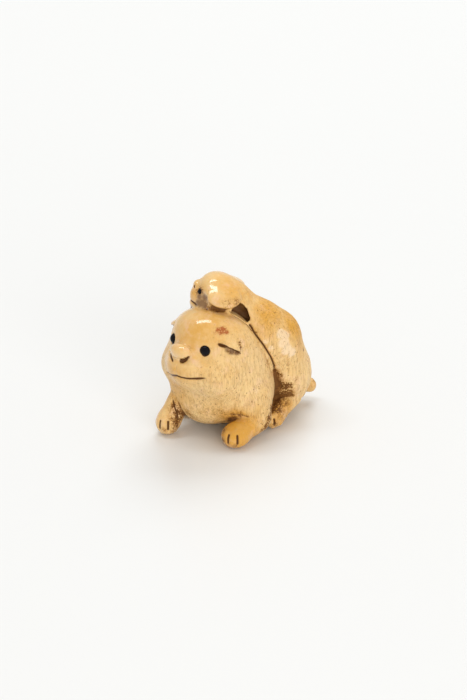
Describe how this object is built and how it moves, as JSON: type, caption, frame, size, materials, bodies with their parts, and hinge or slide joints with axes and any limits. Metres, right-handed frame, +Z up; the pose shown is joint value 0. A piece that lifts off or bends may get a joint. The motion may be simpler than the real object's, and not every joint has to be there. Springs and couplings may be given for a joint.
{
  "type": "netsuke of two puppies",
  "caption": "Small bone carving of a crouching puppy with a second puppy climbing over its back, with inlaid dark horn eyes and cord holes underneath.",
  "frame": {"origin": "middle of the carving's box, on the surface that it stands on", "axes": "+Z up, the lower puppy faces -Y, and its left side is +X"},
  "size_m": [0.028, 0.036, 0.0355],
  "materials": {
    "bone": "polished bone, cream to ochre, with dark brown patina in the crevices",
    "horn": "polished near-black horn"
  },
  "bodies": {
    "root": {"puppies": "bone", "lower_puppy_left_eye": "horn", "lower_puppy_right_eye": "horn", "upper_puppy_left_eye": "horn", "upper_puppy_right_eye": "horn"}
  },
  "joints": []
}
